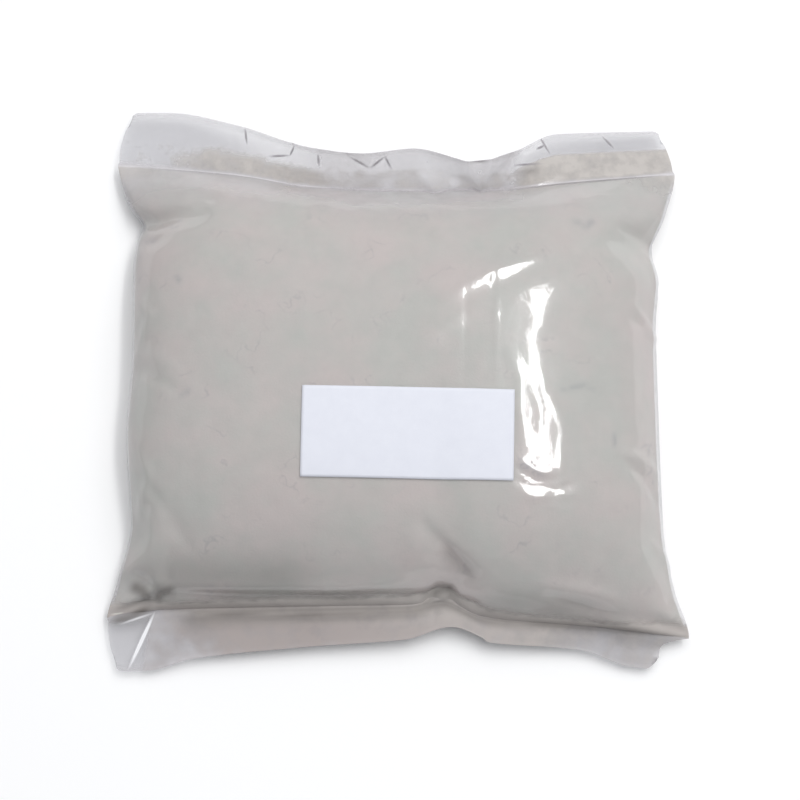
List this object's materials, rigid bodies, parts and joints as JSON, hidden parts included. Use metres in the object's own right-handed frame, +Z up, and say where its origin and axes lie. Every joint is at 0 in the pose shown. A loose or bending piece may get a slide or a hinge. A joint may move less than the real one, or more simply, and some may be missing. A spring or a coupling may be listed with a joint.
{
  "type": "cement bag",
  "caption": "Clear heat-sealed film bag full of grey cement powder, lying flat on its back, with a blank white paper label on its front.",
  "frame": {"origin": "on the floor, under the middle of the bag's outline as it lies on its back", "axes": "+Z up to the labelled front, +Y along the bag to the filling end with its open header, +X across the bag to the right of the label"},
  "size_m": [0.1983, 0.1967, 0.0427],
  "materials": {
    "film": "clear gloss polyethylene film",
    "powder": "matte fine grey powder",
    "label": "matte white paper"
  },
  "bodies": {
    "root": {"film_bag": "film", "cement_powder": "powder", "paper_label": "label"}
  },
  "joints": []
}
